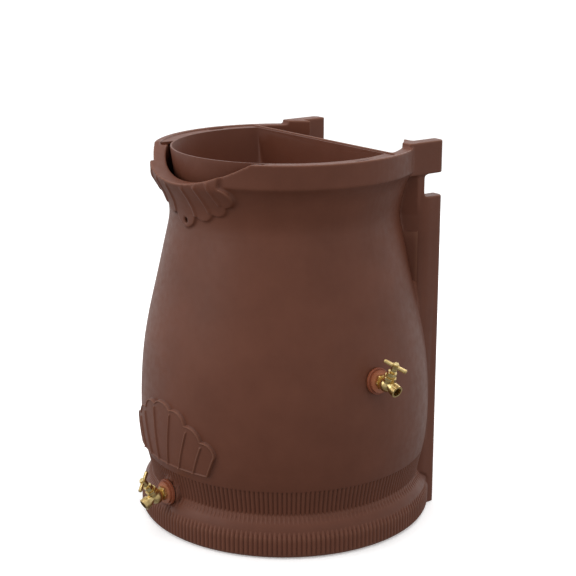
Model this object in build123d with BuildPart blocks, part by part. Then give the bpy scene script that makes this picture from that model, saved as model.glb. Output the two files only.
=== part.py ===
from build123d import *
import math
import os

# An urn-shaped rain barrel with a planter in its top, a flat back and two brass taps.
# Millimetres. +Z is up, the origin is on the barrel's axis at the ground, the front with
# the spout faces -Y, the flat back faces +Y, and the side tap is on +X.

# ---------------------------------------------------------------- driving dimensions
# Outer skin, as a turned profile
FOOT_R = 335.0
FOOT_EDGE = 28.0
FOOT_TOP_Z = 52.0
GROOVE_R = 310.0
GROOVE_Z = 89.0
SHOULDER_R = 322.0
SHOULDER_Z = 149.0
BELLY_R = 330.0
BELLY_Z = 285.0
NECK_R = 257.0
NECK_Z = 700.0
BAND_R = 289.0
BAND_Z = 792.0
RIM_Z = 843.0
WALL = 5.0

# Cuts and blanks that only need to reach past the skin
SHELL_CUT_Y = 197.0
SHELL_CUT_DEPTH = 200.0
ABOVE_ALL = 60.0
BEHIND_ALL = 400.0

# Flat back and the two ears at its upper corners
BACK_Y = 267.0
PANEL_X = 229.0
PANEL_FRONT_Y = 197.0
PANEL_TOP_Z = 731.0
EAR_TOP_Z = 853.0
EAR_INNER_X = 195.0
EAR_NOTCH_Y = 216.0
EAR_NOTCH_TOP_Z = 781.0
EAR_FRONT_Y = 165.0
BACK_CORNER = 12.0
NOTCH_CORNER = 8.0
FRONT_CORNER = 34.0

# Rear well that the downspout empties into
WELL_FRONT_Y = 104.0
WELL_FLOOR_Z = 695.0
WELL_WALL = 6.0
WELL_LIP = 12.0
INLET_Y = 186.0
INLET_R = 61.0

# Open top for the planter tray
MOUTH_R = 262.0
LEDGE_R = 277.0
LEDGE_Z = 834.0
DIVIDER_Y = WELL_FRONT_Y - WELL_WALL

# Spout dip in the rim, and the overflow hole in the upper shell
SPOUT_HALF = 182.0
SPOUT_LOW_Z = 788.0
OVERFLOW_R = 6.0
OVERFLOW_Z = 703.0

# Scallop shells moulded on the front: each lobe is (x, z, radius), each rib runs from
# (x, z) at its outer end to (x, z) at its root, both given for the right-hand half
SHELL_RAISE = 6.0
RIB_RAISE = 9.0
RIB_W = 5.5
LOWER_LOBES = ((0.0, 283.0, 33.0), (58.0, 275.0, 29.0), (101.0, 250.0, 26.0), (134.0, 224.0, 24.0))
LOWER_RIBS = (
    ((31.0, 290.0), (18.0, 171.0)),
    ((83.0, 262.0), (55.0, 171.0)),
    ((124.0, 238.0), (96.0, 171.0)),
)
LOWER_ROOT = (136.0, 170.0)
UPPER_LOBES = ((0.0, 722.0, 34.0), (58.0, 737.0, 28.0), (97.0, 749.0, 25.0), (122.0, 768.0, 22.0))
UPPER_RIBS = (
    ((38.0, 716.0), (30.0, 780.0)),
    ((81.0, 730.0), (71.0, 788.0)),
    ((114.0, 750.0), (106.0, 800.0)),
)
UPPER_ROOT = (135.0, 850.0)
SPOUT_R = 299.0

# Planter tray
TRAY_FLANGE_R = 275.5
TRAY_FLANGE_T = 6.0
TRAY_TOP_R = 252.0
TRAY_BOTTOM_R = 236.0
TRAY_BOTTOM_Z = 716.0
TRAY_WALL = 4.0
TRAY_BACK_Y = 95.0
TRAY_CORNER = 12.0
TRAY_DRAIN_R = 5.0
TRAY_DRAIN_PCR = 150.0
TRAY_DRAINS = 5
TRAY_SLOT_W = 40.0
TRAY_SLOT_DEPTH = 12.0
TRAY_LIP_GAP_Y = 156.0

# Inlet screen
SCREEN_FLANGE_R = 74.0
SCREEN_FLANGE_T = 5.0
SCREEN_R = 60.0
SCREEN_DEPTH = 34.0
SCREEN_WALL = 3.5
MESH_T = 2.0
MESH_PITCH = 12.0
MESH_HOLE = 9.0
MESH_COUNT = 9

# Taps: where each one stands, and how far its axis tilts up
SIDE_TAP_R = 323.0
SIDE_TAP_Z = 377.0
SIDE_TAP_TILT = 8.0
SIDE_PAD_T = 9.0
FRONT_TAP_R = 320.0
FRONT_TAP_Z = 96.0
FRONT_PAD_T = 18.0
PAD_R = 31.0
PAD_HOLE_R = 17.0
PAD_CLEAR = 30.0

# Bulkhead fitting through the wall
GASKET_R = 26.0
GASKET_T = 2.0
FLANGE_R = 28.75
FLANGE_T = 7.0
STEP_R = 24.5
STEP_T = 5.0
SHANK_R = 16.5
SHANK_IN = 34.0
NUT_AF = 46.0
NUT_T = 9.0
THREAD_BORE_R = 13.0

# Brass tap, measured along its inlet axis, its stem axis and its outlet axis
TAP_CENTRE = 36.0
STEM_ANGLE = 53.0
OUTLET_ANGLE = 28.0
INLET_END = -10.0
COLLAR_START = 14.3
COLLAR_END = 21.0
COLLAR_AF = 28.0
GLOBE_R = 16.5
BARREL_R = 13.0
CHAMBER_R = 10.0
SEAT = -8.0
SEAT_BORE_R = 5.0
BARREL_TOP = 14.0
OUTLET_R = 10.5
OUTLET_BORE_R = 7.5
OUTLET_END = 34.0
HOSE_R = 13.45
HOSE_ROOT_R = 12.3
HOSE_PITCH = 2.2
HOSE_TURNS = 6
HOSE_BORE_R = 9.5
HOSE_SHOULDER = 3.0
INLET_BORE_R = 6.0
INLET_BORE_END = 22.0
TURN_R = 7.0
FIT = 0.05
STEM_R = 5.0
STEM_TOP_R = 3.5
STEM_FOOT = -0.5
STEM_SHOULDER = 20.0
STEM_END = 53.5
WASHER_T = 3.0
WASHER_R = 8.2
WASHER_SCREW_R = 1.7
WASHER_HEAD_R = 3.2
JUMPER_R = 8.6
JUMPER_TAP_DEPTH = 3.5
HANDLE_SCREW_R = 1.7
HANDLE_SCREW_LENGTH = 8.0
HANDLE_HEAD_R = 5.6
BONNET_AF = 24.0
BONNET_TOP = 20.5
NECK_TUBE_R = 8.0
NECK_TUBE_TOP = 27.0
PACKING_NUT_AF = 18.0
PACKING_NUT_TOP = 33.0
PACKING_NUT_ROOF = 3.0
PACKING_TOP = 30.0
BONNET_SKIRT = 8.0
HANDLE_BOTTOM = 38.0
HANDLE_BAR = 49.0
HANDLE_TOP = 54.0
HANDLE_BAR_R = 4.3
HANDLE_HALF = 26.5
HANDLE_TWIST = -57.0
HUB_R = 7.0

os.makedirs("parts", exist_ok=True)


def save(part, name):
    """Labels a finished piece and writes its STEP file."""
    part.label = name
    export_step(part, f"parts/{name}.step")


def skin_profile(offset=0.0):
    """Half section of the outer skin in the XZ plane, grown outward by offset."""
    with BuildSketch(Plane.XZ) as section:
        with BuildLine():
            side = Spline(
                (GROOVE_R + offset, GROOVE_Z),
                (SHOULDER_R + offset, SHOULDER_Z),
                (BELLY_R + offset, BELLY_Z),
                (315.5 + offset, 427.0),
                (288.5 + offset, 547.0),
                (263.5 + offset, 655.0),
                (NECK_R + offset, NECK_Z),
                (265.0 + offset, 742.0),
                (BAND_R + offset, BAND_Z),
                tangents=((0.1, 1.0), (0.9, 1.0)),
            )
            Line(side @ 1, (BAND_R + offset, RIM_Z))
            Line((BAND_R + offset, RIM_Z), (0, RIM_Z))
            Line((0, RIM_Z), (0, -offset))
            Line((0, -offset), (FOOT_R - FOOT_EDGE, -offset))
            edge = 0.7071 * (FOOT_EDGE + offset)
            ThreePointArc(
                (FOOT_R - FOOT_EDGE, -offset),
                (FOOT_R - FOOT_EDGE + edge, FOOT_EDGE - edge),
                (FOOT_R + offset, FOOT_EDGE),
            )
            Line((FOOT_R + offset, FOOT_EDGE), (FOOT_R + offset, FOOT_TOP_Z))
            Spline(
                (FOOT_R + offset, FOOT_TOP_Z),
                (GROOVE_R + 15.0 + offset, 76.0),
                side @ 0,
                tangents=((0.0, 1.0), (-0.6, 1.0)),
            )
        make_face()
    return section.sketch


def back_panel(offset, bottom_z, top_z):
    """Upright slab that carries the flat back, grown outward by offset in plan."""
    depth = BACK_Y - PANEL_FRONT_Y
    with BuildPart() as slab:
        with BuildSketch(Plane.XY.offset(bottom_z)):
            with Locations((0, BACK_Y - depth / 2)):
                Rectangle(2 * (PANEL_X + offset), depth + 2 * offset)
        extrude(amount=top_z - bottom_z)
        uprights = slab.edges().filter_by(Axis.Z).group_by(Axis.Y)
        fillet(uprights[-1], BACK_CORNER + offset)
        fillet(uprights[0], FRONT_CORNER + offset)
    return slab.part


def turned(offset):
    """The whole turned skin as a solid, grown outward by offset."""
    with BuildPart() as skin:
        with BuildSketch(Plane.XZ):
            add(skin_profile(offset))
        revolve(axis=Axis.Z)
    return skin.part


def spout_skin(extra):
    """Turned solid whose skin swells outward from the neck to the spout's lip."""
    with BuildPart() as skin:
        with BuildSketch(Plane.XZ):
            with BuildLine():
                swell = Spline(
                    (263.0 + extra, 680.0),
                    (265.5 + extra, 722.0),
                    (277.0 + extra, 752.0),
                    (294.0 + extra, 780.0),
                    (SPOUT_R + extra, 802.0),
                    tangents=((0.0, 1.0), (0.0, 1.0)),
                )
                Line(swell @ 1, (SPOUT_R + extra, RIM_Z))
                Line((SPOUT_R + extra, RIM_Z), (0, RIM_Z))
                Line((0, RIM_Z), (0, 680.0))
                Line((0, 680.0), swell @ 0)
            make_face()
        revolve(axis=Axis.Z)
    return skin.part


def shell_plate(lobes, root, skin):
    """Raised scallop plate: lobes and their root, cut through a grown skin."""
    with BuildPart() as plate:
        with BuildSketch(Plane.XZ.offset(SHELL_CUT_Y)):
            for x, z, radius in lobes:
                with Locations((x, z), (-x, z)):
                    Circle(radius)
            centres = [(x, z) for x, z, radius in lobes]
            mirrored = [(-x, z) for x, z in reversed(centres[1:])]
            with BuildLine():
                Polyline(*centres, root, (-root[0], root[1]), *mirrored, close=True)
            make_face()
        extrude(amount=SHELL_CUT_DEPTH)
        add(skin, mode=Mode.INTERSECT)
    return plate.part


def shell_ribs(ribs, skin):
    """Thin upright ribs between a shell's lobes, cut through a grown skin."""
    with BuildPart() as bars:
        with BuildSketch(Plane.XZ.offset(SHELL_CUT_Y)):
            for (tip_x, tip_z), (root_x, root_z) in ribs:
                for side in (1, -1):
                    with BuildLine():
                        Line((side * tip_x, tip_z), (side * root_x, root_z))
                    trace(line_width=RIB_W)
        extrude(amount=SHELL_CUT_DEPTH)
        add(skin, mode=Mode.INTERSECT)
    return bars.part


def tap_plane(radius, height, tilt, side):
    """Frame of one tap: Z out of the wall, Y up along it, X across to its side."""
    lean = math.radians(tilt)
    if side:
        outward = Vector(math.cos(lean), 0, math.sin(lean))
        across = Vector(0, 1, 0)
        centre = Vector(radius, 0, height)
    else:
        outward = Vector(0, -math.cos(lean), math.sin(lean))
        across = Vector(1, 0, 0)
        centre = Vector(0, -radius, height)
    return Plane(origin=centre, x_dir=across, z_dir=outward)


SIDE_PLANE = tap_plane(SIDE_TAP_R, SIDE_TAP_Z, SIDE_TAP_TILT, True)
FRONT_PLANE = tap_plane(FRONT_TAP_R, FRONT_TAP_Z, 0.0, False)
TAPS = {"side": (SIDE_PLANE, SIDE_PAD_T), "front": (FRONT_PLANE, FRONT_PAD_T)}
WELL_UNDER_Z = WELL_FLOOR_Z - WELL_WALL
CAVITY_STEP_Z = 745.0


# ---------------------------------------------------------------- barrel body
def tank_cavity():
    """The space for water: the whole lower tank, and the open mouth in front."""
    with BuildPart() as cavity:
        add(turned(-WALL))
        split(bisect_by=Plane.XY.offset(CAVITY_STEP_Z), keep=Keep.BOTTOM)
        with BuildSketch(Plane.XY.offset(CAVITY_STEP_Z)):
            Circle(MOUTH_R)
        extrude(amount=RIM_Z - CAVITY_STEP_Z + ABOVE_ALL)
        with BuildSketch(Plane.XY.offset(LEDGE_Z)):
            Circle(LEDGE_R)
        extrude(amount=ABOVE_ALL)
        with BuildSketch(Plane.XY.offset(WELL_UNDER_Z)):
            with Locations((0, DIVIDER_Y + BEHIND_ALL / 2)):
                Rectangle(4 * BELLY_R, BEHIND_ALL)
        extrude(amount=BEHIND_ALL, mode=Mode.SUBTRACT)
        split(bisect_by=Plane.XZ.offset(-BACK_Y + WALL), keep=Keep.TOP)
        add(back_panel(-WALL, WALL, WELL_UNDER_Z))
    return cavity.part


def rear_well():
    """The open well behind the planter, and the gap between the two ears."""
    with BuildPart() as well:
        add(turned(-WALL))
        split(bisect_by=Plane.XY.offset(CAVITY_STEP_Z), keep=Keep.BOTTOM)
        split(bisect_by=Plane.XY.offset(WELL_FLOOR_Z), keep=Keep.TOP)
        with BuildSketch(Plane.XY.offset(CAVITY_STEP_Z)):
            Circle(MOUTH_R)
        extrude(amount=RIM_Z - CAVITY_STEP_Z + ABOVE_ALL)
        split(bisect_by=Plane.XZ.offset(-WELL_FRONT_Y), keep=Keep.BOTTOM)
        split(bisect_by=Plane.XZ.offset(-BACK_Y + WELL_WALL), keep=Keep.TOP)
        panel_depth = BACK_Y - PANEL_FRONT_Y - 2 * WELL_WALL
        with BuildSketch(Plane.XY.offset(WELL_FLOOR_Z)):
            with Locations((0, (PANEL_FRONT_Y + BACK_Y) / 2)):
                Rectangle(2 * EAR_INNER_X, panel_depth)
        extrude(amount=EAR_TOP_Z - WELL_FLOOR_Z + ABOVE_ALL)
        with BuildSketch(Plane.XY.offset(WELL_FLOOR_Z + WELL_LIP)):
            with Locations((0, BACK_Y)):
                Rectangle(2 * EAR_INNER_X, 2 * (BACK_Y - PANEL_FRONT_Y - WELL_WALL))
        extrude(amount=EAR_TOP_Z - WELL_FLOOR_Z + ABOVE_ALL)
    return well.part


def ear_notches():
    """Strap notches through both ears, open at the back."""
    height = EAR_NOTCH_TOP_Z - PANEL_TOP_Z
    depth = 2 * (BACK_Y - EAR_NOTCH_Y)
    with BuildPart() as notches:
        with Locations((0, EAR_NOTCH_Y + depth / 2, PANEL_TOP_Z + height / 2)):
            Box(3 * PANEL_X, depth, height)
        fillet(notches.edges().filter_by(Axis.X).group_by(Axis.Y)[0], NOTCH_CORNER)
    return notches.part


with BuildPart() as barrel_body:
    # Outer form: the turned urn, cut flat at the back, with the upright back panel
    add(turned(0.0))
    split(bisect_by=Plane.XZ.offset(-BACK_Y), keep=Keep.TOP)
    add(back_panel(0.0, 0.0, EAR_NOTCH_TOP_Z))
    with BuildSketch(Plane.XY.offset(EAR_NOTCH_TOP_Z)):
        with Locations((0, (EAR_FRONT_Y + BACK_Y) / 2)):
            Rectangle(2 * PANEL_X, BACK_Y - EAR_FRONT_Y)
        fillet(vertices().group_by(Axis.Y)[-1], BACK_CORNER)
    extrude(amount=EAR_TOP_Z - EAR_NOTCH_TOP_Z)
    # Scallop shells, with the spout's swollen lip
    add(shell_plate(LOWER_LOBES, LOWER_ROOT, turned(SHELL_RAISE)))
    add(shell_ribs(LOWER_RIBS, turned(RIB_RAISE)))
    add(shell_plate(UPPER_LOBES, UPPER_ROOT, spout_skin(0.0)))
    add(shell_ribs(UPPER_RIBS, spout_skin(RIB_RAISE - SHELL_RAISE)))
    # Hollow it out
    add(tank_cavity(), mode=Mode.SUBTRACT)
    add(rear_well(), mode=Mode.SUBTRACT)
    add(ear_notches(), mode=Mode.SUBTRACT)
    # The spout: a shallow arc dipped out of the front of the rim
    with BuildSketch(Plane.XZ.offset(SHELL_CUT_Y)):
        with BuildLine():
            ThreePointArc((-SPOUT_HALF, RIM_Z), (0, SPOUT_LOW_Z), (SPOUT_HALF, RIM_Z))
            above = RIM_Z + ABOVE_ALL
            Polyline((SPOUT_HALF, RIM_Z), (SPOUT_HALF, above), (-SPOUT_HALF, above), (-SPOUT_HALF, RIM_Z))
        make_face()
    extrude(amount=SHELL_CUT_DEPTH, mode=Mode.SUBTRACT)
    # Overflow hole through the middle lobe of the upper shell
    with BuildSketch(Plane.XZ.offset(SHELL_CUT_Y)):
        with Locations((0, OVERFLOW_Z)):
            Circle(OVERFLOW_R)
    extrude(amount=SHELL_CUT_DEPTH, mode=Mode.SUBTRACT)
    # Inlet hole in the well's floor
    with BuildSketch(Plane.XY.offset(WELL_UNDER_Z)):
        with Locations((0, INLET_Y)):
            Circle(INLET_R)
    extrude(amount=WELL_WALL, mode=Mode.SUBTRACT)
    # Flat pads for the taps, clear in front, with a hole for each bulkhead fitting
    for plane, pad_t in TAPS.values():
        with BuildSketch(plane.offset(-pad_t)):
            Circle(PAD_R)
        extrude(amount=pad_t)
        with BuildSketch(plane):
            Circle(PAD_R)
        extrude(amount=PAD_CLEAR, mode=Mode.SUBTRACT)
        with BuildSketch(plane.offset(-pad_t - PAD_CLEAR)):
            Circle(PAD_HOLE_R)
        extrude(amount=pad_t + 2 * PAD_CLEAR, mode=Mode.SUBTRACT)
save(barrel_body.part, "barrel_body")


# ---------------------------------------------------------------- planter tray
def tray_form(top_r, bottom_r, back_y, bottom_z, top_z):
    """Tapered bowl shape, round in front and flat at the back."""
    with BuildPart() as form:
        for z, radius in ((bottom_z, bottom_r), (top_z, top_r)):
            with BuildSketch(Plane.XY.offset(z)):
                Circle(radius)
                with Locations((0, back_y + BEHIND_ALL / 2)):
                    Rectangle(4 * radius, BEHIND_ALL, mode=Mode.SUBTRACT)
        loft()
    return form.part


with BuildPart() as planter_tray:
    add(tray_form(TRAY_TOP_R, TRAY_BOTTOM_R, TRAY_BACK_Y, TRAY_BOTTOM_Z, LEDGE_Z))
    fillet(planter_tray.faces().sort_by(Axis.Z)[0].edges(), TRAY_CORNER)
    # Lip that hangs on the rim's ledge, left off across the spout and at the flat back
    with BuildSketch(Plane.XY.offset(LEDGE_Z)):
        Circle(TRAY_FLANGE_R)
        with Locations((0, TRAY_BACK_Y + BEHIND_ALL / 2)):
            Rectangle(4 * TRAY_FLANGE_R, BEHIND_ALL, mode=Mode.SUBTRACT)
    extrude(amount=TRAY_FLANGE_T)
    with BuildSketch(Plane.XY.offset(LEDGE_Z)):
        with Locations((0, -TRAY_FLANGE_R)):
            Rectangle(2 * SPOUT_HALF, 2 * (TRAY_FLANGE_R - TRAY_LIP_GAP_Y))
        Circle(TRAY_TOP_R, mode=Mode.SUBTRACT)
    extrude(amount=TRAY_FLANGE_T, mode=Mode.SUBTRACT)
    add(
        tray_form(
            TRAY_TOP_R - TRAY_WALL,
            TRAY_BOTTOM_R - TRAY_WALL,
            TRAY_BACK_Y - TRAY_WALL,
            TRAY_BOTTOM_Z + TRAY_WALL,
            LEDGE_Z + TRAY_FLANGE_T + 0.1,
        ),
        mode=Mode.SUBTRACT,
    )
    # Drain holes in the floor
    with BuildSketch(Plane.XY.offset(TRAY_BOTTOM_Z - 1.0)):
        with PolarLocations(TRAY_DRAIN_PCR, TRAY_DRAINS, start_angle=180.0, angular_range=180.0):
            Circle(TRAY_DRAIN_R)
    extrude(amount=TRAY_WALL + 2.0, mode=Mode.SUBTRACT)
    # Finger slots in the lip to lift it out by
    with BuildSketch(Plane.XY.offset(LEDGE_Z)):
        with Locations((TRAY_FLANGE_R, 0), (-TRAY_FLANGE_R, 0)):
            RectangleRounded(TRAY_SLOT_DEPTH * 2, TRAY_SLOT_W, TRAY_SLOT_DEPTH / 2)
    extrude(amount=TRAY_FLANGE_T, mode=Mode.SUBTRACT)
save(planter_tray.part, "planter_tray")


# ---------------------------------------------------------------- inlet screen
with BuildPart() as inlet_screen_frame:
    # Basket that drops into the inlet hole and hangs by its flange
    with BuildSketch(Plane.XY.offset(WELL_FLOOR_Z)):
        with Locations((0, INLET_Y)):
            Circle(SCREEN_FLANGE_R)
    extrude(amount=SCREEN_FLANGE_T)
    fillet(inlet_screen_frame.edges().group_by(Axis.Z)[-1], 1.5)
    with BuildSketch(Plane.XY.offset(WELL_FLOOR_Z - SCREEN_DEPTH)):
        with Locations((0, INLET_Y)):
            Circle(SCREEN_R)
    extrude(amount=SCREEN_DEPTH)
    with BuildSketch(Plane.XY.offset(WELL_FLOOR_Z - SCREEN_DEPTH + SCREEN_WALL + MESH_T)):
        with Locations((0, INLET_Y)):
            Circle(SCREEN_R - SCREEN_WALL)
    extrude(amount=SCREEN_DEPTH + SCREEN_FLANGE_T, mode=Mode.SUBTRACT)
    # Recess that holds the mesh, above an open floor ring
    with BuildSketch(Plane.XY.offset(WELL_FLOOR_Z - SCREEN_DEPTH + SCREEN_WALL)):
        with Locations((0, INLET_Y)):
            Circle(SCREEN_R - SCREEN_WALL)
    extrude(amount=MESH_T, mode=Mode.SUBTRACT)
    with BuildSketch(Plane.XY.offset(WELL_FLOOR_Z - SCREEN_DEPTH)):
        with Locations((0, INLET_Y)):
            Circle(SCREEN_R - 3 * SCREEN_WALL)
    extrude(amount=SCREEN_WALL, mode=Mode.SUBTRACT)
    # Cross bars under the mesh
    with BuildSketch(Plane.XY.offset(WELL_FLOOR_Z - SCREEN_DEPTH)):
        with Locations((0, INLET_Y)):
            Rectangle(2 * SCREEN_R - 2 * SCREEN_WALL, SCREEN_WALL)
            Rectangle(SCREEN_WALL, 2 * SCREEN_R - 2 * SCREEN_WALL)
    extrude(amount=SCREEN_WALL)
save(inlet_screen_frame.part, "inlet_screen_frame")

with BuildPart() as inlet_screen_mesh:
    with BuildSketch(Plane.XY.offset(WELL_FLOOR_Z - SCREEN_DEPTH + SCREEN_WALL)):
        with Locations((0, INLET_Y)):
            Circle(SCREEN_R - SCREEN_WALL - 0.2)
            with GridLocations(MESH_PITCH, MESH_PITCH, MESH_COUNT, MESH_COUNT) as grid:
                spots = [
                    spot.position
                    for spot in grid.local_locations
                    if spot.position.length < SCREEN_R - MESH_PITCH
                ]
            with Locations(*spots):
                Rectangle(MESH_HOLE, MESH_HOLE, mode=Mode.SUBTRACT)
    extrude(amount=MESH_T)
save(inlet_screen_mesh.part, "inlet_screen_mesh")


# ---------------------------------------------------------------- taps
def ring(plane, outer_r, inner_r, low, high):
    """Plain ring about a plane's Z, from low to high along it."""
    with BuildPart() as band:
        with BuildSketch(plane.offset(low)):
            Circle(outer_r)
            Circle(inner_r, mode=Mode.SUBTRACT)
        extrude(amount=high - low)
    return band.part


def hex_ring(plane, across_flats, inner_r, low, high):
    """Hexagon about a plane's Z, bored, with its outer corners turned off."""
    corner_r = across_flats / math.sqrt(3.0)
    turned_r = 0.5 * (corner_r + across_flats / 2.0)
    with BuildPart() as nut:
        with BuildSketch(plane.offset(low)):
            RegularPolygon(corner_r, 6)
        extrude(amount=high - low)
        with BuildSketch(plane.offset(low)):
            Circle(corner_r)
        extrude(amount=high - low, mode=Mode.INTERSECT)
        with BuildSketch(plane.offset(low)):
            Circle(turned_r + (high - low) * 0.6)
        extrude(amount=high - low, taper=31.0, mode=Mode.INTERSECT)
        with BuildSketch(plane.offset(low)):
            Circle(inner_r)
        extrude(amount=high - low, mode=Mode.SUBTRACT)
    return nut.part


def bulkhead_fitting(plane):
    """Stepped plastic flange outside the wall, with a threaded shank through it."""
    with BuildPart() as fitting:
        with BuildSketch(plane.offset(GASKET_T)):
            Circle(FLANGE_R)
        extrude(amount=FLANGE_T)
        fillet(fitting.edges().filter_by(GeomType.CIRCLE), 1.2)
        with BuildSketch(plane.offset(GASKET_T + FLANGE_T)):
            Circle(STEP_R)
        extrude(amount=STEP_T)
        with BuildSketch(plane.offset(-SHANK_IN)):
            Circle(SHANK_R)
        extrude(amount=SHANK_IN + GASKET_T)
        with BuildSketch(plane.offset(-SHANK_IN)):
            Circle(THREAD_BORE_R)
        extrude(amount=SHANK_IN + GASKET_T + FLANGE_T + STEP_T, mode=Mode.SUBTRACT)
    return fitting.part


def tap_axes(plane):
    """Planes of one tap at its chamber's centre: along the stem, and along the outlet."""
    centre = plane.origin + plane.z_dir * TAP_CENTRE
    up = plane.z_dir.cross(plane.x_dir)
    rise = math.radians(STEM_ANGLE)
    stem_dir = plane.z_dir * math.cos(rise) + up * math.sin(rise)
    stem_plane = Plane(origin=centre, x_dir=plane.x_dir, z_dir=stem_dir)
    fall = math.radians(OUTLET_ANGLE)
    outlet_dir = plane.z_dir * math.cos(fall) - up * math.sin(fall)
    outlet_plane = Plane(origin=centre, x_dir=plane.x_dir, z_dir=outlet_dir)
    return stem_plane, outlet_plane


def hose_end(outlet_plane):
    """Outlet tube with a ringed hose thread at its mouth."""
    thread_start = OUTLET_END - HOSE_TURNS * HOSE_PITCH
    with BuildPart() as outlet:
        with BuildSketch(outlet_plane):
            Circle(OUTLET_R)
        extrude(amount=thread_start)
        with BuildSketch(outlet_plane.offset(thread_start - HOSE_SHOULDER)):
            Circle(HOSE_ROOT_R)
        extrude(amount=OUTLET_END - thread_start + HOSE_SHOULDER)
        for turn in range(HOSE_TURNS):
            start = thread_start + turn * HOSE_PITCH + HOSE_PITCH / 4
            with BuildSketch(outlet_plane.offset(start)):
                Circle(HOSE_R)
            extrude(amount=HOSE_PITCH / 2)
    return outlet.part


def tap_body(plane):
    """Brass casting: threaded inlet, hexagon collar, globe, stem barrel and outlet."""
    stem_plane, outlet_plane = tap_axes(plane)
    under_seat = SEAT - 6.0
    with BuildPart() as casting:
        with BuildSketch(plane.offset(INLET_END)):
            Circle(THREAD_BORE_R - FIT)
        extrude(amount=COLLAR_START - INLET_END)
        add(hex_ring(plane, COLLAR_AF, 4.0, COLLAR_START, COLLAR_END))
        with BuildSketch(plane.offset(INLET_END)):
            Circle(OUTLET_R)
        extrude(amount=TAP_CENTRE - INLET_END)
        globe_at = stem_plane.offset(SEAT / 2).origin
        with Locations(globe_at):
            Sphere(GLOBE_R)
        with BuildSketch(stem_plane.offset(SEAT)):
            Circle(BARREL_R)
        extrude(amount=BARREL_TOP - SEAT)
        add(hose_end(outlet_plane))
        # Waterway: inlet bore, turn below the seat, chamber above it, outlet bore
        with BuildSketch(plane.offset(INLET_END)):
            Circle(INLET_BORE_R)
        extrude(amount=INLET_BORE_END - INLET_END, mode=Mode.SUBTRACT)
        with Locations(stem_plane.offset(under_seat).origin):
            Sphere(TURN_R, mode=Mode.SUBTRACT)
        with BuildSketch(stem_plane.offset(under_seat)):
            Circle(SEAT_BORE_R)
        extrude(amount=SEAT - under_seat, mode=Mode.SUBTRACT)
        with BuildSketch(stem_plane.offset(SEAT)):
            Circle(CHAMBER_R)
        extrude(amount=BARREL_TOP - SEAT, mode=Mode.SUBTRACT)
        with BuildSketch(outlet_plane):
            Circle(OUTLET_BORE_R)
        extrude(amount=OUTLET_END, mode=Mode.SUBTRACT)
        with BuildSketch(outlet_plane.offset(OUTLET_END - HOSE_TURNS * HOSE_PITCH)):
            Circle(HOSE_BORE_R)
        extrude(amount=HOSE_TURNS * HOSE_PITCH, mode=Mode.SUBTRACT)
    return casting.part


def bonnet(stem_plane):
    """Hexagon cap screwed into the stem barrel, with a neck for the packing nut."""
    with BuildPart() as cap:
        add(ring(stem_plane, CHAMBER_R - FIT, STEM_R + FIT, BONNET_SKIRT, BARREL_TOP))
        add(hex_ring(stem_plane, BONNET_AF, STEM_R + FIT, BARREL_TOP, BONNET_TOP))
        add(ring(stem_plane, NECK_TUBE_R, STEM_R + FIT, BONNET_TOP, NECK_TUBE_TOP))
    return cap.part


def packing_nut(stem_plane):
    """Small hexagon nut over the bonnet's neck, closed round the stem at its top."""
    with BuildPart() as nut:
        add(hex_ring(stem_plane, PACKING_NUT_AF, STEM_TOP_R + FIT, BONNET_TOP + 0.8, PACKING_NUT_TOP))
        with BuildSketch(stem_plane.offset(BONNET_TOP)):
            Circle(NECK_TUBE_R + FIT)
        extrude(amount=PACKING_NUT_TOP - PACKING_NUT_ROOF - BONNET_TOP, mode=Mode.SUBTRACT)
    return nut.part


def stem(stem_plane):
    """Turned spindle: threaded part in the bonnet, thinner part up to the handle."""
    with BuildPart() as spindle:
        with BuildSketch(stem_plane.offset(STEM_FOOT)):
            Circle(STEM_R)
        extrude(amount=STEM_SHOULDER - STEM_FOOT)
        with BuildSketch(stem_plane.offset(STEM_SHOULDER)):
            Circle(STEM_TOP_R)
        extrude(amount=STEM_END - STEM_SHOULDER)
        with BuildSketch(stem_plane.offset(STEM_END - HANDLE_SCREW_LENGTH - 1.0)):
            Circle(HANDLE_SCREW_R + FIT)
        extrude(amount=HANDLE_SCREW_LENGTH + 1.0, mode=Mode.SUBTRACT)
    return spindle.part


def jumper(stem_plane):
    """Disc that carries the seat washer, pushed by the stem's foot."""
    with BuildPart() as disc:
        with BuildSketch(stem_plane.offset(SEAT + WASHER_T)):
            Circle(JUMPER_R)
        extrude(amount=STEM_FOOT - SEAT - WASHER_T)
        with BuildSketch(stem_plane.offset(SEAT + WASHER_T)):
            Circle(WASHER_SCREW_R + FIT)
        extrude(amount=JUMPER_TAP_DEPTH, mode=Mode.SUBTRACT)
    return disc.part


def screw(stem_plane, head_r, head_low, head_high, shaft_r, shaft_end, domed):
    """Machine screw about the stem's axis, its head from head_low to head_high."""
    with BuildPart() as fastener:
        with BuildSketch(stem_plane.offset(head_low)):
            Circle(head_r)
        extrude(amount=head_high - head_low)
        if domed:
            rim = fastener.edges().filter_by(GeomType.CIRCLE)
            fillet(rim.sort_by(lambda edge: stem_plane.to_local_coords(edge.center()).Z)[-1], 1.4)
        with BuildSketch(stem_plane.offset(min(shaft_end, head_low))):
            Circle(shaft_r)
        extrude(amount=abs(head_low - shaft_end) if shaft_end < head_low else shaft_end - head_low)
    return fastener.part


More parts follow.
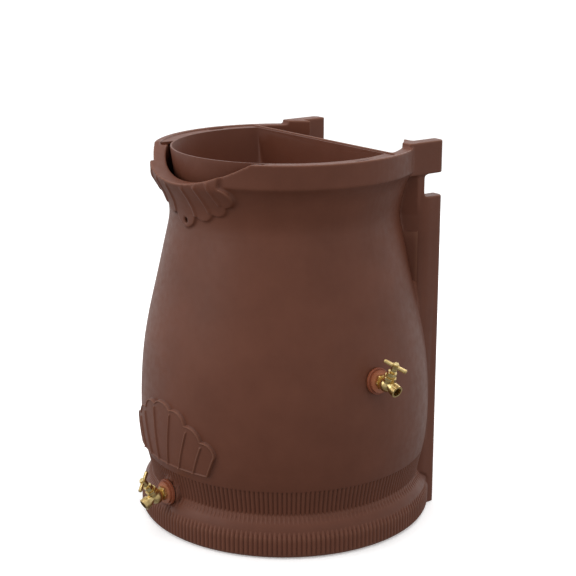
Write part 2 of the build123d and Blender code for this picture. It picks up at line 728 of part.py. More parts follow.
def tee_handle(stem_plane):
    """Cast tee: a hub with a cross bar, bored for the stem."""
    twist = math.radians(HANDLE_TWIST)
    up = stem_plane.z_dir.cross(stem_plane.x_dir)
    bar_dir = stem_plane.x_dir * math.cos(twist) + up * math.sin(twist)
    bar_centre = stem_plane.offset(HANDLE_BAR).origin
    bar_plane = Plane(origin=bar_centre - bar_dir * HANDLE_HALF, z_dir=bar_dir)
    with BuildPart() as tee:
        with BuildSketch(bar_plane):
            Circle(HANDLE_BAR_R)
        extrude(amount=2 * HANDLE_HALF)
        fillet(tee.edges().filter_by(GeomType.CIRCLE), 2.0)
        with BuildSketch(stem_plane.offset(HANDLE_BOTTOM)):
            Circle(HUB_R)
        extrude(amount=HANDLE_TOP - HANDLE_BOTTOM)
        with BuildSketch(stem_plane.offset(HANDLE_BOTTOM)):
            Circle(STEM_TOP_R + 0.02)
        extrude(amount=HANDLE_TOP - HANDLE_BOTTOM, mode=Mode.SUBTRACT)
    return tee.part


for side, (plane, pad_t) in TAPS.items():
    stem_plane, outlet_plane = tap_axes(plane)
    pieces = {
        "bulkhead_gasket": ring(plane, GASKET_R, SHANK_R + FIT, 0.0, GASKET_T),
        "bulkhead_fitting": bulkhead_fitting(plane),
        "bulkhead_nut": hex_ring(plane, NUT_AF, SHANK_R + FIT, -pad_t - NUT_T, -pad_t),
        "tap_body": tap_body(plane),
        "bonnet": bonnet(stem_plane),
        "packing": ring(stem_plane, NECK_TUBE_R, STEM_TOP_R + FIT, NECK_TUBE_TOP, PACKING_TOP),
        "packing_nut": packing_nut(stem_plane),
        "stem": stem(stem_plane),
        "jumper": jumper(stem_plane),
        "seat_washer": ring(stem_plane, WASHER_R, WASHER_SCREW_R + FIT, SEAT, SEAT + WASHER_T),
        "washer_screw": screw(
            stem_plane, WASHER_HEAD_R, SEAT - 1.2, SEAT, WASHER_SCREW_R, SEAT + WASHER_T + 3.0, False
        ),
        "tee_handle": tee_handle(stem_plane),
        "handle_screw": screw(
            stem_plane,
            HANDLE_HEAD_R,
            HANDLE_TOP,
            HANDLE_TOP + 3.0,
            HANDLE_SCREW_R,
            STEM_END - HANDLE_SCREW_LENGTH,
            True,
        ),
    }
    for name, piece in pieces.items():
        save(piece, f"{side}_{name}")
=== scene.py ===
import math

import bmesh
import bpy
import numpy as np
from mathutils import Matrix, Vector
from mathutils.bvhtree import BVHTree


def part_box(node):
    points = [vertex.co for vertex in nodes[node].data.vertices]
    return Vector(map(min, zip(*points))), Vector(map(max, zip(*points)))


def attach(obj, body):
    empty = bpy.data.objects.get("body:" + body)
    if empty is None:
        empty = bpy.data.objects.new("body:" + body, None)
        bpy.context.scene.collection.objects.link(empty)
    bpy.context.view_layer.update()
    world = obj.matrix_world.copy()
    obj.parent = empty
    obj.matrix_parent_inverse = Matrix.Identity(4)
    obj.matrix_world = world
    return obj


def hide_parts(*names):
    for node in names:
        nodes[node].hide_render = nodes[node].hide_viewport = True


# An urn-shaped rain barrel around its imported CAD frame. Metres, +Z up, the front with the spout
# faces -Y. The moulded shell is rebuilt here with its flutes, its beaded lower scallop shell,
# its webs and its soft edges, and the tray is a copy with its shading set. The inlet screen and
# the taps are the CAD's own pieces with a material each.

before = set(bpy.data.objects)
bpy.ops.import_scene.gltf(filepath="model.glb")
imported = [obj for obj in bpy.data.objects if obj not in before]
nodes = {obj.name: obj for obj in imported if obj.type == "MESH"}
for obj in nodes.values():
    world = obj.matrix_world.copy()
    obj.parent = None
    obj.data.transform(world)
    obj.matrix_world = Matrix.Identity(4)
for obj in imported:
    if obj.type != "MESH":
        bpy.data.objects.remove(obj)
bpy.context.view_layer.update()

# ---------------------------------------------------------------- sizes
BACK_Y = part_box("barrel_body")[1].y

# Where the rebuilt shell changes from one piece to the next, and the groove over the foot ring
FOOT_SPLIT_Z = 0.156
SKIN_TOP_Z = 0.652
GROOVE_Z = 0.089
BACK_SPLIT = 124.0

# How far out the rays towards the skin start, and the height of the shell's lowest points
RAY_START = 0.8
FLOOR_GAP = 0.0004
LOWEST_RAY_Z = 0.0005

# A direction in which the turned skin is bare, and how far a point may be from it and still
# count as on it
CLEAR_ANGLE = math.radians(45.0)
SKIN_TOLERANCE = 0.0005

# Flutes round the foot. They start and end over these heights, are deeper on the ring's upper
# slope, and stop short of the back slab and of the front tap's pad.
FLUTES = 200
FLUTE_DEPTH = 0.0036
FLUTE_STEPS = 8
FLUTE_SHARPNESS = 0.7
FLUTE_START = (0.003, 0.012)
FLUTE_END = (0.1465, 0.1495)
FLUTE_SLOPE_GAIN = 0.35
FLUTE_SLOPE_START = (0.040, 0.052)
FLUTE_SLOPE_END = (0.088, 0.096)
SLAB_ANGLE = math.radians(46.0)
SLAB_FADE = 0.06
SLAB_GAP = 0.004
FRONT_PAD_Z = 0.096
FRONT_PAD_FADE = (0.031, 0.034)

# Foot ring, as (radius, height) points up to the groove, and the radius of its lower edge
FOOT_EDGE_R = 0.014
FOOT_SLOPE = ((0.335, 0.0), (0.335, 0.046), (0.326, 0.065), (0.3165, 0.079), (0.310, 0.089))

# The lower scallop shell, as the CAD's but with shallow lobes and a bead along its edge. The
# right-hand half starts on the middle line and runs lobe by lobe to its root: a lobe is an arc
# through one (x, z) to the next. Each rib runs from its outer end to its root. The span is the
# angle, in degrees each side of the front, over which the skin has close columns.
SHELL_SPAN = 33.0
SHELL_COLUMN = 0.20
SHELL_ROW = 0.0011
SHELL_TOP_Z = 0.324
SHELL_RAISE = 0.006
SHELL_BEVEL = 0.0016
BEAD_WIDTH = 0.0045
BEAD_RAISE = 0.0024
RIB_HALF_WIDTH = 0.0024
RIB_RAISE = 0.0032
SHELL_START = (0.0, 0.311)
SHELL_LOBES = (
    ((0.016, 0.3085), (0.030, 0.299)),
    ((0.063, 0.297), (0.0785, 0.276)),
    ((0.105, 0.2695), (0.1205, 0.248)),
    ((0.145, 0.239), (0.152, 0.217)),
)
SHELL_ROOT = (0.131, 0.168)
SHELL_RIBS = (
    ((0.031, 0.288), (0.018, 0.171)),
    ((0.082, 0.261), (0.055, 0.171)),
    ((0.120, 0.235), (0.096, 0.171)),
)

# Webs that fill the narrow gap between the neck and the back's front corners, as heights with
# the plan of the right-hand web at each
WEB_PLAN = (
    (0.1834, 0.1771),
    (0.2167, 0.2048),
    (0.2140, 0.2075),
    (0.1950, 0.1995),
    (0.1665, 0.1990),
)
WEB_TOP_PLAN = (
    (0.1985, 0.1715),
    (0.2255, 0.1945),
    (0.2250, 0.2145),
    (0.2000, 0.2145),
    (0.1900, 0.1990),
)
WEB_SECTIONS = ((0.48, WEB_PLAN), (0.69, WEB_PLAN), (0.7805, WEB_TOP_PLAN))
WEB_OVERLAP = 0.002
WEB_CUTS = 7

# The neck and rim: how far below its lower end it is cut before the remesh, the remesh's grain
# and the rounds of smoothing that soften its edges
TOP_SPARE = 0.02
TOP_VOXEL = 0.0024
TOP_SOFTENING = 5

# The tank's inner skin: degrees between columns, and the radius where a ray finds an opening
INSIDE_COLUMN = 3.0
INSIDE_OPENING_R = 0.3

# Angles, in degrees, above which an edge is shaded sharp
TRAY_SHARP = 25.0
BACK_SHARP = 35.0

# ---------------------------------------------------------------- camera, lights and floor
CAMERA_AZIMUTH = math.radians(53.2)
CAMERA_DISTANCE = 3.016
CAMERA_HEIGHT = 1.335
CAMERA_PITCH = math.radians(15.3)
CAMERA_YAW = math.radians(0.14)
CAMERA_LENS = 86.06

# World strength towards the camera's side, behind the barrel and from below, and the direction
# cosines between which it changes
WORLD_FRONT = 0.66
WORLD_BACK = 1.02
WORLD_BELOW = 0.36
WORLD_ACROSS = (-1.0, 0.8)
WORLD_DOWN = (-0.5, -0.12)

# Each light's place, size and power. All aim at the barrel's middle.
LIGHT_TARGET = (0.0, 0.0, 0.45)
LIGHTS = {
    "key_left": ((-0.9, -3.0, 1.9), (1.6, 2.0), 24.0),
    "rim_right": ((-1.1, 2.8, 1.3), (1.2, 2.2), 24.0),
    "top_soft": ((0.2, -0.2, 3.4), (3.0, 3.0), 40.0),
}

FLOOR_Z = -0.0005
FLOOR_SIZE = 40.0
FLOOR_GLOW = 0.30


def link_object(name, data):
    """A new object in the scene from its data."""
    thing = bpy.data.objects.new(name, data)
    bpy.context.scene.collection.objects.link(thing)
    return thing


def add_camera():
    """The photograph's view: from the front right, a little above."""
    data = bpy.data.cameras.new("camera")
    data.sensor_width = 36.0
    data.lens = CAMERA_LENS
    data.clip_end = 50.0
    camera = link_object("camera", data)
    across = CAMERA_DISTANCE * math.sin(CAMERA_AZIMUTH)
    along = -CAMERA_DISTANCE * math.cos(CAMERA_AZIMUTH)
    camera.location = (across, along, CAMERA_HEIGHT)
    heading = CAMERA_AZIMUTH - CAMERA_YAW
    camera.rotation_euler = (math.pi / 2 - CAMERA_PITCH, 0.0, heading)
    bpy.context.scene.camera = camera


def add_light(name, location, size, power):
    """A soft box at a place, aimed at the barrel."""
    data = bpy.data.lights.new(name, "AREA")
    data.shape = "RECTANGLE"
    data.size, data.size_y = size
    data.energy = power
    light = link_object(name, data)
    light.location = location
    aim = Vector(LIGHT_TARGET) - Vector(location)
    light.rotation_euler = aim.to_track_quat("-Z", "Y").to_euler()


def range_node(tree, value, source, target):
    """A value carried from one range to another, clamped."""
    node = tree.nodes.new("ShaderNodeMapRange")
    node.inputs["From Min"].default_value = source[0]
    node.inputs["From Max"].default_value = source[1]
    node.inputs["To Min"].default_value = target[0]
    node.inputs["To Max"].default_value = target[1]
    tree.links.new(value, node.inputs["Value"])
    return node.outputs["Result"]


def add_world():
    """A white studio: brightest behind the barrel, dimmer on the camera's side and below."""
    world = bpy.data.worlds.new("studio")
    world.use_nodes = True
    tree = world.node_tree
    background = tree.nodes["Background"]
    background.inputs["Color"].default_value = (1.0, 1.0, 1.0, 1.0)
    coordinates = tree.nodes.new("ShaderNodeTexCoord")
    along = tree.nodes.new("ShaderNodeVectorMath")
    along.operation = "DOT_PRODUCT"
    behind = CAMERA_AZIMUTH + math.pi
    along.inputs[1].default_value = (math.sin(behind), -math.cos(behind), 0.0)
    tree.links.new(coordinates.outputs["Generated"], along.inputs[0])
    across = range_node(tree, along.outputs["Value"], WORLD_ACROSS, (WORLD_FRONT, WORLD_BACK))
    split = tree.nodes.new("ShaderNodeSeparateXYZ")
    tree.links.new(coordinates.outputs["Generated"], split.inputs["Vector"])
    down = range_node(tree, split.outputs["Z"], WORLD_DOWN, (WORLD_BELOW, 1.0))
    both = tree.nodes.new("ShaderNodeMath")
    both.operation = "MULTIPLY"
    tree.links.new(across, both.inputs[0])
    tree.links.new(down, both.inputs[1])
    tree.links.new(both.outputs["Value"], background.inputs["Strength"])
    bpy.context.scene.world = world


def add_floor():
    """A plain pale floor, which doesn't reflect in the barrel."""
    bpy.ops.mesh.primitive_plane_add(size=1.0, location=(0.0, 0.0, FLOOR_Z))
    floor = bpy.context.active_object
    floor.name = "studio_floor"
    floor.scale = (FLOOR_SIZE, FLOOR_SIZE, 1.0)
    material, _, surface = new_material("studio_floor")
    surface.inputs["Base Color"].default_value = (0.93, 0.93, 0.93, 1.0)
    surface.inputs["Roughness"].default_value = 0.9
    surface.inputs["Specular IOR Level"].default_value = 0.1
    surface.inputs["Emission Color"].default_value = (1.0, 1.0, 1.0, 1.0)
    surface.inputs["Emission Strength"].default_value = FLOOR_GLOW
    floor.data.materials.append(material)
    floor.visible_diffuse = False
    floor.visible_glossy = False


def add_stage():
    """The surroundings, the floor and the soft studio lights."""
    add_world()
    add_floor()
    for name, (location, size, power) in LIGHTS.items():
        add_light(name, location, size, power)


# ---------------------------------------------------------------- materials
# Painted light on edges: pointiness from where a ridge starts to pale with a painted highlight to
# where it is palest, and from where a groove's painted shade is darkest to where it stops, with how
# dark that is
RIDGE_POINTINESS = (0.51, 0.60)
GROOVE_POINTINESS = (0.40, 0.49)
GROOVE_SHADE = 0.55

# The part of a noise's range that roughness follows
NOISE_MIDDLE = (0.25, 0.75)


def new_material(name):
    """A node material and its tree, with the shader found."""
    material = bpy.data.materials.new(name)
    material.use_nodes = True
    tree = material.node_tree
    return material, tree, tree.nodes["Principled BSDF"]


def object_coordinates(tree):
    """Object coordinates, which stay with the piece as it moves."""
    return tree.nodes.new("ShaderNodeTexCoord").outputs["Object"]


def noise_node(tree, vector, scale, detail, roughness=0.5):
    """A noise texture's factor."""
    node = tree.nodes.new("ShaderNodeTexNoise")
    node.inputs["Scale"].default_value = scale
    node.inputs["Detail"].default_value = detail
    node.inputs["Roughness"].default_value = roughness
    tree.links.new(vector, node.inputs["Vector"])
    return node.outputs["Fac"]


def ramp(tree, factor, stops):
    """A colour ramp through two (position, colour) stops."""
    node = tree.nodes.new("ShaderNodeValToRGB")
    for element, (position, colour) in zip(node.color_ramp.elements, stops):
        element.position = position
        element.color = (*colour, 1.0)
    tree.links.new(factor, node.inputs["Fac"])
    return node.outputs["Color"]


def bump(tree, height, strength, distance, below=None):
    """A bump from a height, over another normal if one is given."""
    node = tree.nodes.new("ShaderNodeBump")
    node.inputs["Strength"].default_value = strength
    node.inputs["Distance"].default_value = distance
    tree.links.new(height, node.inputs["Height"])
    if below is not None:
        tree.links.new(below, node.inputs["Normal"])
    return node.outputs["Normal"]


def mix_colour(tree, factor, first, second):
    """A linked colour mixed with a fixed one."""
    node = tree.nodes.new("ShaderNodeMix")
    node.data_type = "RGBA"
    tree.links.new(factor, node.inputs["Factor"])
    tree.links.new(first, node.inputs[6])
    node.inputs[7].default_value = second
    return node.outputs[2]


def shade_colour(tree, amount, colour):
    """A linked colour scaled by an amount."""
    node = tree.nodes.new("ShaderNodeVectorMath")
    node.operation = "SCALE"
    tree.links.new(colour, node.inputs[0])
    tree.links.new(amount, node.inputs["Scale"])
    return node.outputs["Vector"]


def paint_edge_light_and_shade(tree, colour, edge):
    """The colour with painted light: a painted highlight, paler, on sharp ridges and painted shade,
    darker, in grooves.
    """
    pointiness = tree.nodes.new("ShaderNodeNewGeometry").outputs["Pointiness"]
    ridge = range_node(tree, pointiness, RIDGE_POINTINESS, (0.0, 1.0))
    groove = range_node(tree, pointiness, GROOVE_POINTINESS, (GROOVE_SHADE, 1.0))
    paler = mix_colour(tree, ridge, colour, (*edge, 1.0))
    return shade_colour(tree, groove, paler)


def moulded_plastic(name, dark, light, rough=(0.42, 0.56), grain=0.35, edge=None):
    """Moulded plastic: even colour with soft mottling, a fine grain and slight waves, and, if an
    edge colour is given, a painted highlight on its ridges and painted shade in its grooves."""
    material, tree, shader = new_material(name)
    vector = object_coordinates(tree)
    mottle = noise_node(tree, vector, scale=9.0, detail=5.0, roughness=0.6)
    colour = ramp(tree, mottle, ((0.30, dark), (0.72, light)))
    # painted light from pointiness: a painted highlight on ridges and painted shade in grooves
    if edge:
        colour = paint_edge_light_and_shade(tree, colour, edge)
    tree.links.new(colour, shader.inputs["Base Color"])
    sheen = noise_node(tree, vector, scale=60.0, detail=3.0)
    tree.links.new(range_node(tree, sheen, NOISE_MIDDLE, rough), shader.inputs["Roughness"])
    swell = noise_node(tree, vector, scale=14.0, detail=2.0)
    waves = bump(tree, swell, strength=0.25, distance=0.0012)
    fine = noise_node(tree, vector, scale=900.0, detail=2.0)
    surface = bump(tree, fine, strength=grain, distance=0.0003, below=waves)
    tree.links.new(surface, shader.inputs["Normal"])
    shader.inputs["Specular IOR Level"].default_value = 0.30
    return material


def brass(name, dark, light, rough, cast, cast_scale):
    """Brass with a faint tarnish, and a cast or machined surface."""
    material, tree, shader = new_material(name)
    vector = object_coordinates(tree)
    tarnish = noise_node(tree, vector, scale=120.0, detail=4.0, roughness=0.65)
    colour = ramp(tree, tarnish, ((0.32, dark), (0.62, light)))
    tree.links.new(colour, shader.inputs["Base Color"])
    dulled = range_node(tree, tarnish, NOISE_MIDDLE, rough[::-1])
    tree.links.new(dulled, shader.inputs["Roughness"])
    grains = noise_node(tree, vector, cast_scale, detail=3.0)
    surface = bump(tree, grains, strength=cast, distance=0.0002)
    tree.links.new(surface, shader.inputs["Normal"])
    shader.inputs["Metallic"].default_value = 1.0
    return material


def rubber(name, colour):
    """Matte rubber with a fine grain and a little dust."""
    material, tree, shader = new_material(name)
    vector = object_coordinates(tree)
    dust = noise_node(tree, vector, scale=200.0, detail=4.0)
    lighter = tuple(1.8 * part for part in colour)
    dusty = ramp(tree, dust, ((0.35, colour), (0.7, lighter)))
    tree.links.new(dusty, shader.inputs["Base Color"])
    tree.links.new(range_node(tree, dust, NOISE_MIDDLE, (0.6, 0.85)), shader.inputs["Roughness"])
    grains = noise_node(tree, vector, scale=1500.0, detail=2.0)
    surface = bump(tree, grains, strength=0.3, distance=0.0002)
    tree.links.new(surface, shader.inputs["Normal"])
    return material


# Each edge colour below is a painted highlight on that plastic's ridges, and its grooves get
# painted shade
BARREL = moulded_plastic(
    "barrel_plastic", (0.118, 0.036, 0.018), (0.146, 0.047, 0.025), edge=(0.2, 0.08, 0.045)
)
PLANTER = moulded_plastic("planter_plastic", (0.112, 0.034, 0.017), (0.138, 0.044, 0.024))
FITTING = moulded_plastic(
    "fitting_plastic",
    (0.20, 0.052, 0.024),
    (0.27, 0.075, 0.034),
    rough=(0.34, 0.46),
    grain=0.2,
    edge=(0.42, 0.15, 0.08),
)
SCREEN = moulded_plastic(
    "screen_plastic",
    (0.020, 0.020, 0.021),
    (0.032, 0.031, 0.031),
    rough=(0.4, 0.55),
    grain=0.2,
    edge=(0.06, 0.06, 0.06),
)
MESH = moulded_plastic(
    "screen_mesh",
    (0.030, 0.030, 0.031),
    (0.045, 0.045, 0.045),
    rough=(0.4, 0.55),
    grain=0.2,
    edge=(0.08, 0.08, 0.08),
)
CAST_BRASS = brass(
    "cast_brass", (0.46, 0.33, 0.13), (0.72, 0.55, 0.26), (0.2, 0.38), cast=0.35, cast_scale=700.0
)
NUT_BRASS = brass(
    "nut_brass", (0.55, 0.41, 0.17), (0.78, 0.61, 0.30), (0.16, 0.3), cast=0.12, cast_scale=1200.0
)
STEM_BRASS = brass(
    "stem_brass", (0.60, 0.46, 0.20), (0.82, 0.66, 0.34), (0.12, 0.24), cast=0.08, cast_scale=1600.0
)
GASKET = rubber("gasket_rubber", (0.018, 0.018, 0.018))
PACKING = rubber("packing_graphite", (0.045, 0.045, 0.048))

TAP_MATERIALS = {
    "bulkhead_gasket": GASKET,
    "bulkhead_fitting": FITTING,
    "bulkhead_nut": FITTING,
    "tap_body": CAST_BRASS,
    "bonnet": CAST_BRASS,
    "packing": PACKING,
    "packing_nut": NUT_BRASS,
    "stem": STEM_BRASS,
    "jumper": NUT_BRASS,
    "seat_washer": GASKET,
    "washer_screw": NUT_BRASS,
    "tee_handle": CAST_BRASS,
    "handle_screw": STEM_BRASS,
}


def dress(name, material):
    """Gives a CAD node one material."""
    mesh = nodes[name].data
    mesh.materials.clear()
    mesh.materials.append(material)


# ---------------------------------------------------------------- meshes
def outward(angle):
    """The level direction at an angle round the axis, 0 at the front and growing to the right."""
    return Vector((math.sin(angle), -math.cos(angle), 0.0))


def ring_points(angles, radii, height):
    """Points at one height, at a radius for each angle."""
    return zip(radii * np.sin(angles), -radii * np.cos(angles), np.full(len(angles), height))


def grid_faces(rows, columns, wrap):
    """Faces of a grid whose points run row by row, closed round the columns if wrapped."""
    faces = []
    spans = columns if wrap else columns - 1
    for row in range(rows - 1):
        start = row * columns
        for column in range(spans):
            after = (column + 1) % columns
            low = (start + column, start + after)
            high = (start + columns + after, start + columns + column)
            faces.append(low + high)
    return faces


def smooth_piece(name, points, faces):
    """A piece of the barrel from points and faces, shaded smooth."""
    mesh = bpy.data.meshes.new(name)
    mesh.from_pydata([tuple(point) for point in points], [], faces)
    mesh.validate()
    mesh.materials.append(BARREL)
    mesh.shade_smooth()
    return link_object(name, mesh)


def shape_piece(name, shape, material):
    """A piece from a bmesh, which is used up."""
    mesh = bpy.data.meshes.new(name)
    shape.to_mesh(mesh)
    shape.free()
    mesh.materials.append(material)
    return link_object(name, mesh)


def shade_by_angle(mesh, degrees):
    """Smooth shading that stops at edges sharper than an angle."""
    mesh.shade_smooth()
    mesh.set_sharp_from_angle(angle=math.radians(degrees))


def merged_copy(name):
    """A welded copy of a CAD node's mesh, as a bmesh."""
    shape = bmesh.new()
    shape.from_mesh(nodes[name].data)
    bmesh.ops.remove_doubles(shape, verts=shape.verts, dist=1e-6)
    return shape


def everything(shape):
    """A bmesh's points, edges and faces in one list."""
    return shape.verts[:] + shape.edges[:] + shape.faces[:]


def keep_above(shape, height):
    """Drops what lies below a height, and returns the edges of the cut."""
    cut = bmesh.ops.bisect_plane(
        shape,
        geom=everything(shape),
        plane_co=(0, 0, height),
        plane_no=(0, 0, 1),
        clear_inner=True,
    )
    return [item for item in cut["geom_cut"] if isinstance(item, bmesh.types.BMEdge)]


def drop_beyond(shape, point, normal):
    """Cuts a bmesh by a plane and drops what lies on the normal's side."""
    bmesh.ops.bisect_plane(
        shape, geom=everything(shape), plane_co=point, plane_no=normal, clear_outer=True
    )


def apply_modifiers(piece):
    """Turns a piece's modifiers into its mesh."""
    graph = bpy.context.evaluated_depsgraph_get()
    result = bpy.data.meshes.new_from_object(piece.evaluated_get(graph))
    piece.modifiers.clear()
    old = piece.data
    piece.data = result
    bpy.data.meshes.remove(old)


def smooth_step(value, low, high):
    """0 below low, 1 above high, smooth between."""
    part = np.clip((value - low) / (high - low), 0.0, 1.0)
    return part * part * (3.0 - 2.0 * part)


# ---------------------------------------------------------------- skin found on the CAD's shell
def cad_tree(name):
    """The CAD node's surface, to find points on it."""
    source = nodes[name].data
    points = [vertex.co.copy() for vertex in source.vertices]
    polygons = [tuple(polygon.vertices) for polygon in source.polygons]
    return BVHTree.FromPolygons(points, polygons)


def skin_radius(tree, angle, height):
    """How far the shell's outer skin is from the axis, seen from outside at that angle."""
    away = outward(angle)
    start = away * RAY_START + Vector((0.0, 0.0, height))
    hit = tree.ray_cast(start, -away, RAY_START)
    if hit[0] is None:
        return 0.0
    return hit[0].xy.length


def skin_ring(tree, angles, height):
    """The outer skin's radius at each angle."""
    return np.array([skin_radius(tree, angle, height) for angle in angles])


# ---------------------------------------------------------------- fluted foot
def foot_radius(height):
    """Radius of the foot ring at a height, with its rounded lower edge."""
    radii, heights = zip(*FOOT_SLOPE)
    radius = float(np.interp(height, heights, radii))
    drop = max(0.0, FOOT_EDGE_R - height)
    return radius - FOOT_EDGE_R + math.sqrt(FOOT_EDGE_R ** 2 - drop ** 2)


def foot_ring(tree, angles, height):
    """The foot's radii at a height, before fluting: the CAD's skin, with the ring's own profile
    where the skin is turned, and no further out than the skin where it is cut back."""
    ray_height = max(height, LOWEST_RAY_Z)
    radii = skin_ring(tree, angles, ray_height)
    if height >= GROOVE_Z:
        return radii
    turned = skin_radius(tree, CLEAR_ANGLE, ray_height)
    behind = np.maximum(-np.cos(angles), 0.05)
    profile = np.minimum(foot_radius(height), BACK_Y / behind)
    proud = radii > turned + SKIN_TOLERANCE
    cut_back = radii < turned - SKIN_TOLERANCE
    return np.where(cut_back, np.minimum(radii, profile), np.where(proud, radii, profile))


def flute_wave(angles):
    """Groove depth across the flutes, from 0 on a ridge to 1 in a groove."""
    phase = np.mod(angles * FLUTES / (2 * math.pi), 1.0)
    return 1.0 - np.abs(np.sin(math.pi * phase)) ** FLUTE_SHARPNESS


def flute_strength(height):
    """How deep the flutes are at a height, with 1 for the band above the groove."""
    present = smooth_step(height, *FLUTE_START) * (1.0 - smooth_step(height, *FLUTE_END))
    sloping = smooth_step(height, *FLUTE_SLOPE_START)
    sloping *= 1.0 - smooth_step(height, *FLUTE_SLOPE_END)
    return present * (1.0 + FLUTE_SLOPE_GAIN * sloping)


def flute_room(angles, radii, height):
    """1 where there is room for flutes, 0 on the back slab and round the front tap's pad."""
    x = radii * np.sin(angles)
    y = -radii * np.cos(angles)
    past_slab = np.abs(angles - math.pi) - SLAB_ANGLE
    turned = (y < BACK_Y - SLAB_GAP) & (past_slab > 0.0)
    beside_slab = np.where(turned, np.clip(past_slab / SLAB_FADE, 0.0, 1.0), 0.0)
    round_pad = smooth_step(np.hypot(x, height - FRONT_PAD_Z), *FRONT_PAD_FADE)
    return beside_slab * np.where(y < 0, round_pad, 1.0)


def foot_heights():
    """Heights of the foot's rows of points: close on the edge, the slope and the groove."""
    arc = np.linspace(0.5 * math.pi, 0.0, 9)
    edge = FOOT_EDGE_R * (1.0 - np.sin(arc))
    side = np.linspace(0.020, 0.044, 4)
    slope = np.linspace(0.048, 0.084, 13)
    groove = np.linspace(0.0865, 0.100, 7)
    band = np.linspace(0.107, 0.143, 5)
    flute_ends = (0.146, 0.1475, 0.149, 0.1505, FOOT_SPLIT_Z)
    rows = np.concatenate([[FLOOR_GAP], edge[1:], side, slope, groove, band, flute_ends])
    return np.unique(np.round(rows, 5))


def build_foot(tree):
    """The lower shell with the fluted foot ring and band, closed underneath."""
    columns = FLUTES * FLUTE_STEPS
    angles = np.arange(columns) * 2 * math.pi / columns
    heights = foot_heights()
    points = []
    for height in heights:
        radii = foot_ring(tree, angles, height)
        depth = FLUTE_DEPTH * flute_strength(height) * flute_wave(angles)
        fluted = radii - depth * flute_room(angles, radii, height)
        points.extend(ring_points(angles, fluted, height))
    faces = grid_faces(len(heights), columns, True)
    faces.append(tuple(range(columns - 1, -1, -1)))
    return smooth_piece("barrel_foot", points, faces)


# ---------------------------------------------------------------- belly with the lower shell
def arc_points(start, middle, end, steps=14):
    """Points along the arc from start through middle to end, the first left out."""
    # a point (x, z) as a complex number x + iz, so that a turn about the centre is a product
    a, b, c = (complex(*point) for point in (start, middle, end))
    ratio = (c - a) / (b - a)
    centre = a - (a - b) * (ratio - abs(ratio) ** 2) / (2j * ratio.imag)
    sweep = np.angle((c - centre) / (a - centre))
    to_middle = np.angle((b - centre) / (a - centre))
    if to_middle * sweep < 0.0:
        sweep -= math.copysign(2 * math.pi, sweep)
    turns = np.exp(1j * sweep * np.arange(1, steps + 1) / steps)
    points = centre + (a - centre) * turns
    return list(zip(points.real, points.imag))


def shell_outline():
    """The lower shell's closed outline in the XZ plane."""
    half = [SHELL_START]
    for middle, end in SHELL_LOBES:
        half.extend(arc_points(half[-1], middle, end))
    half.append(SHELL_ROOT)
    return np.array(half + [(-x, z) for x, z in reversed(half[1:])])


def segment_distance(x, z, start, end):
    """Distance of each point (x, z) from one segment."""
    along_x = end[0] - start[0]
    along_z = end[1] - start[1]
    reach = (x - start[0]) * along_x + (z - start[1]) * along_z
    part = np.clip(reach / (along_x ** 2 + along_z ** 2), 0.0, 1.0)
    return np.hypot(x - start[0] - part * along_x, z - start[1] - part * along_z)


def edge_distance(x, z, outline):
    """How far inside a closed outline each point (x, z) is, 0 for one outside."""
    distance = np.full(x.shape, np.inf)
    inside = np.zeros(x.shape, bool)
    for start, end in zip(outline, np.roll(outline, -1, axis=0)):
        distance = np.minimum(distance, segment_distance(x, z, start, end))
        if start[1] != end[1]:
            # a point is inside if an odd number of sides cross its level on its right
            level = (start[1] > z) != (end[1] > z)
            crossing = start[0] + (z - start[1]) * (end[0] - start[0]) / (end[1] - start[1])
            inside ^= level & (x < crossing)
    return np.where(inside, distance, 0.0)


def shell_raise(x, z, outline):
    """How far the lower shell stands proud of the skin at each point (x, z)."""
    distance = edge_distance(x, z, outline)
    raised = SHELL_RAISE * smooth_step(distance, 0.0, SHELL_BEVEL)
    raised += BEAD_RAISE * np.sin(np.pi * np.clip(distance / BEAD_WIDTH, 0.0, 1.0))
    for tip, root in SHELL_RIBS:
        for side in (1, -1):
            away = segment_distance(side * x, z, tip, root) / RIB_HALF_WIDTH
            rib = RIB_RAISE * np.sqrt(np.clip(1.0 - away ** 2, 0.0, 1.0))
            raised += np.where(distance > 0.0, rib, 0.0)
    return raised


def skin_columns():
    """Angles round the skin, from one side of the back to the other: close together across
    the shells, wide elsewhere."""
    close = np.arange(-SHELL_SPAN, SHELL_SPAN, SHELL_COLUMN)
    wide = np.linspace(SHELL_SPAN, BACK_SPLIT, 78)
    return np.radians(np.concatenate([-wide[::-1], close[1:], wide]))


def skin_heights():
    """Heights of the skin's rows of points: close together across the lower shell."""
    below = np.linspace(FOOT_SPLIT_Z, 0.166, 5)
    shell = np.arange(0.1670, SHELL_TOP_Z, SHELL_ROW)
    belly = np.arange(0.330, SKIN_TOP_Z, 0.008)
    return np.concatenate([below, shell, belly, [SKIN_TOP_Z]])


def build_skin(tree):
    """The belly and shoulders between the fluted band and the neck, with the lower shell."""
    angles = skin_columns()
    heights = skin_heights()
    front = np.abs(angles) < math.radians(SHELL_SPAN)
    outline = shell_outline()
    points = []
    for height in heights:
        turned = skin_radius(tree, CLEAR_ANGLE, height)
        plan_x = (turned + SHELL_RAISE) * np.sin(angles)
        shell = turned + shell_raise(plan_x, np.full(len(angles), height), outline)
        radii = np.where(front, shell, skin_ring(tree, angles, height))
        points.extend(ring_points(angles, radii, height))
    faces = grid_faces(len(heights), len(angles), False)
    return smooth_piece("barrel_urn", points, faces)


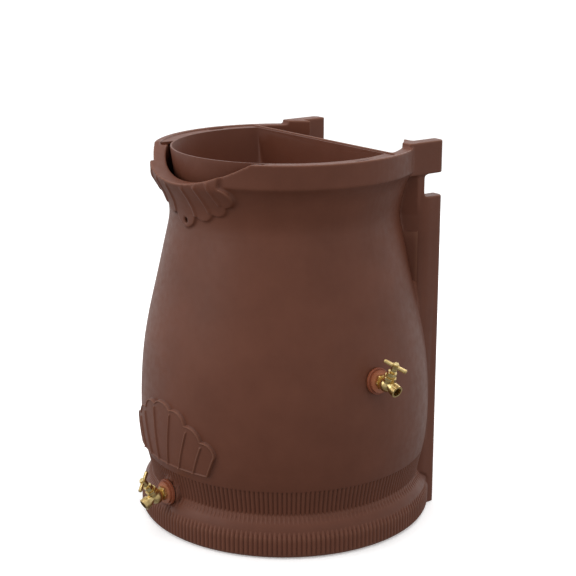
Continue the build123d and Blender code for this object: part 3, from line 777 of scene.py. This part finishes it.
# ---------------------------------------------------------------- back, webs, neck and inside
def build_back():
    """The flat back with its upright corners, between the foot and the neck."""
    shape = merged_copy("barrel_body")
    drop_beyond(shape, (0, 0, SKIN_TOP_Z), (0, 0, 1))
    drop_beyond(shape, (0, 0, FOOT_SPLIT_Z), (0, 0, -1))
    split = math.radians(BACK_SPLIT)
    for side in (1, -1):
        # the plane holds the axis and the split's direction, and its normal points forward
        forward = (-side * math.cos(split), -math.sin(split), 0.0)
        drop_beyond(shape, (0, 0, 0), forward)
    piece = shape_piece("barrel_back", shape, BARREL)
    shade_by_angle(piece.data, BACK_SHARP)
    flat = piece.modifiers.new("flat_faces", "WEIGHTED_NORMAL")
    flat.keep_sharp = True
    flat.weight = 100
    apply_modifiers(piece)
    return piece


def add_webs(shape, sections):
    """Adds a closed upright web on each side, between the neck and the back's corner."""
    for side in (1, -1):
        rings = []
        for height, plan in sections:
            rings.append([shape.verts.new((side * x, y, height)) for x, y in plan])
        count = len(rings[0])
        for low, high in zip(rings, rings[1:]):
            for corner in range(count):
                after = (corner + 1) % count
                shape.faces.new((low[corner], low[after], high[after], high[corner]))
        shape.faces.new(rings[0])
        shape.faces.new(rings[-1])
    bmesh.ops.recalc_face_normals(shape, faces=shape.faces[:])


def build_webs():
    """The webs below the neck, down to where the belly takes them in."""
    shape = bmesh.new()
    add_webs(shape, (WEB_SECTIONS[0], (SKIN_TOP_Z + WEB_OVERLAP, WEB_PLAN)))
    bmesh.ops.subdivide_edges(shape, edges=shape.edges[:], cuts=WEB_CUTS, use_grid_fill=True)
    return shape_piece("barrel_webs", shape, BARREL)


def build_top():
    """The neck, rim, spout, ears and rear well, with the soft edges of a moulding."""
    shape = merged_copy("barrel_body")
    cut_z = SKIN_TOP_Z - TOP_SPARE
    rim = keep_above(shape, cut_z)
    bmesh.ops.triangle_fill(shape, edges=rim, use_beauty=True)
    add_webs(shape, ((cut_z, WEB_PLAN), *WEB_SECTIONS[1:]))
    piece = shape_piece("barrel_top", shape, BARREL)
    remesh = piece.modifiers.new("fine", "REMESH")
    remesh.mode = "VOXEL"
    remesh.voxel_size = TOP_VOXEL
    remesh.use_smooth_shade = True
    soften = piece.modifiers.new("soften", "SMOOTH")
    soften.factor = 0.5
    soften.iterations = TOP_SOFTENING
    apply_modifiers(piece)
    shape = bmesh.new()
    shape.from_mesh(piece.data)
    keep_above(shape, SKIN_TOP_Z)
    shape.to_mesh(piece.data)
    shape.free()
    piece.data.shade_smooth()
    return piece


def build_inside(tree):
    """The tank's inner skin, seen through the mouth when the tray is lifted."""
    angles = np.radians(np.arange(0.0, 360.0, INSIDE_COLUMN))
    heights = np.concatenate([[0.006, 0.012, 0.03], np.linspace(0.05, SKIN_TOP_Z, 40)])
    points = []
    for height in heights:
        radii = []
        for angle in angles:
            hit = tree.ray_cast(Vector((0.0, 0.0, height)), outward(angle), RAY_START)
            radii.append(INSIDE_OPENING_R if hit[0] is None else hit[0].xy.length)
        points.extend(ring_points(angles, np.array(radii), height))
    faces = [tuple(reversed(face)) for face in grid_faces(len(heights), len(angles), True)]
    faces.append(tuple(range(len(angles))))
    return smooth_piece("barrel_inside", points, faces)


def build_tray():
    """The planter tray, its flat faces shaded flat up to their edges."""
    piece = shape_piece("planter_moulding", merged_copy("planter_tray"), PLANTER)
    shade_by_angle(piece.data, TRAY_SHARP)
    return piece


# ---------------------------------------------------------------- the scene
add_camera()
add_stage()

body_tree = cad_tree("barrel_body")
shell_pieces = (
    build_foot(body_tree),
    build_skin(body_tree),
    build_back(),
    build_webs(),
    build_top(),
    build_inside(body_tree),
)
for piece in shell_pieces:
    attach(piece, "barrel")
    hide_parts("barrel_body")

tray = build_tray()
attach(tray, "planter")
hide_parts("planter_tray")

dress("inlet_screen_frame", SCREEN)
dress("inlet_screen_mesh", MESH)
for tap in ("side", "front"):
    for part, material in TAP_MATERIALS.items():
        dress(f"{tap}_{part}", material)

scene = bpy.context.scene
scene.view_settings.view_transform = "Standard"

bpy.context.view_layer.update()
